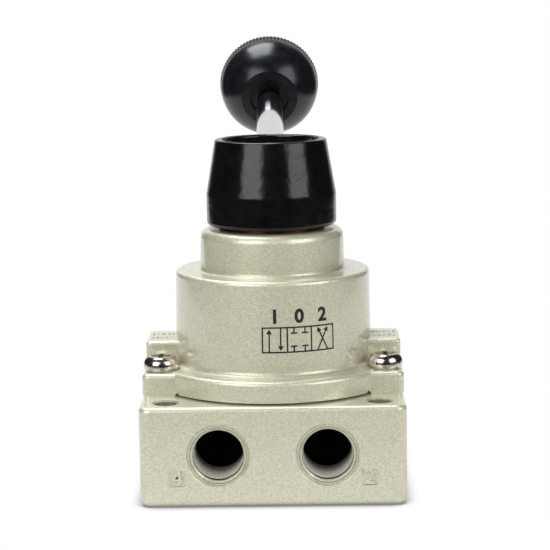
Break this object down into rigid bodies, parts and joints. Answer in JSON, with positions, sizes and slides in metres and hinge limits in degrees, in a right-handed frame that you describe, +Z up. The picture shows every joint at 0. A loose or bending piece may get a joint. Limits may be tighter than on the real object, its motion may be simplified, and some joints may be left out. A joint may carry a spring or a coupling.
{
  "type": "hand lever air valve",
  "caption": "Hand-operated rotary disc air valve: square ported base, stepped round bonnet, black conical hub and a raked lever with a ball knob.",
  "frame": {"origin": "centre of the base underside, on the lever's turning axis", "axes": "+Z up along the shaft; +Y to the back, where the lever points in its middle position; the numbered front ports face -Y"},
  "size_m": [0.06, 0.1046, 0.1016],
  "materials": {
    "cast_paint": "pale champagne metallic paint on die-cast aluminium, fine sparkle",
    "bright_screw": "bright nickel plate",
    "steel": "ground steel",
    "spring_steel": "drawn spring wire",
    "black_oxide": "black oxide steel",
    "seat_alloy": "lapped face",
    "bronze": "turned bronze",
    "brass": "turned brass",
    "seal_rubber": "moulded nitrile rubber",
    "slide_plastic": "white bearing plastic",
    "hub_gloss": "gloss black stove enamel",
    "knob_gloss": "polished black phenolic",
    "rod_chrome": "bright chrome plate"
  },
  "bodies": {
    "body": {"valve_body": "cast_paint", "bonnet": "cast_paint", "bonnet_screws": "bright_screw", "cover_seal": "seal_rubber", "seat_plate": "seat_alloy", "seat_seals": "seal_rubber", "seat_dowels": "steel", "detent_ring": "steel", "detent_ring_pins": "steel", "stop_pin": "steel", "thrust_ring": "slide_plastic", "shaft_bush": "bronze", "shaft_seal": "seal_rubber", "hub_washer": "bronze"},
    "lever": {"shaft": "steel", "rotor_disc": "seat_alloy", "disc_spring": "spring_steel", "detent_carrier": "bronze", "carrier_pin": "steel", "detent_spring_right": "spring_steel", "detent_spring_left": "spring_steel", "lever_hub": "hub_gloss", "hub_set_screw": "black_oxide", "lever_rod": "rod_chrome", "knob_insert": "brass", "ball_knob": "knob_gloss"},
    "right_detent_ball": {"detent_ball_right": "steel"},
    "left_detent_ball": {"detent_ball_left": "steel"}
  },
  "joints": [
    {"name": "lever_turn", "type": "hinge", "parent": "body", "child": "lever", "pos_m": [0, 0, 0], "axis": [0, 0, 1], "range_deg": [-45, 45]},
    {"name": "right_detent", "type": "slide", "parent": "lever", "child": "right_detent_ball", "axis": [1, 0, 0], "range_m": [0, 0.0004], "deforming": ["detent_spring_right"]},
    {"name": "left_detent", "type": "slide", "parent": "lever", "child": "left_detent_ball", "axis": [-1, 0, 0], "range_m": [0, 0.0004], "deforming": ["detent_spring_left"]}
  ]
}
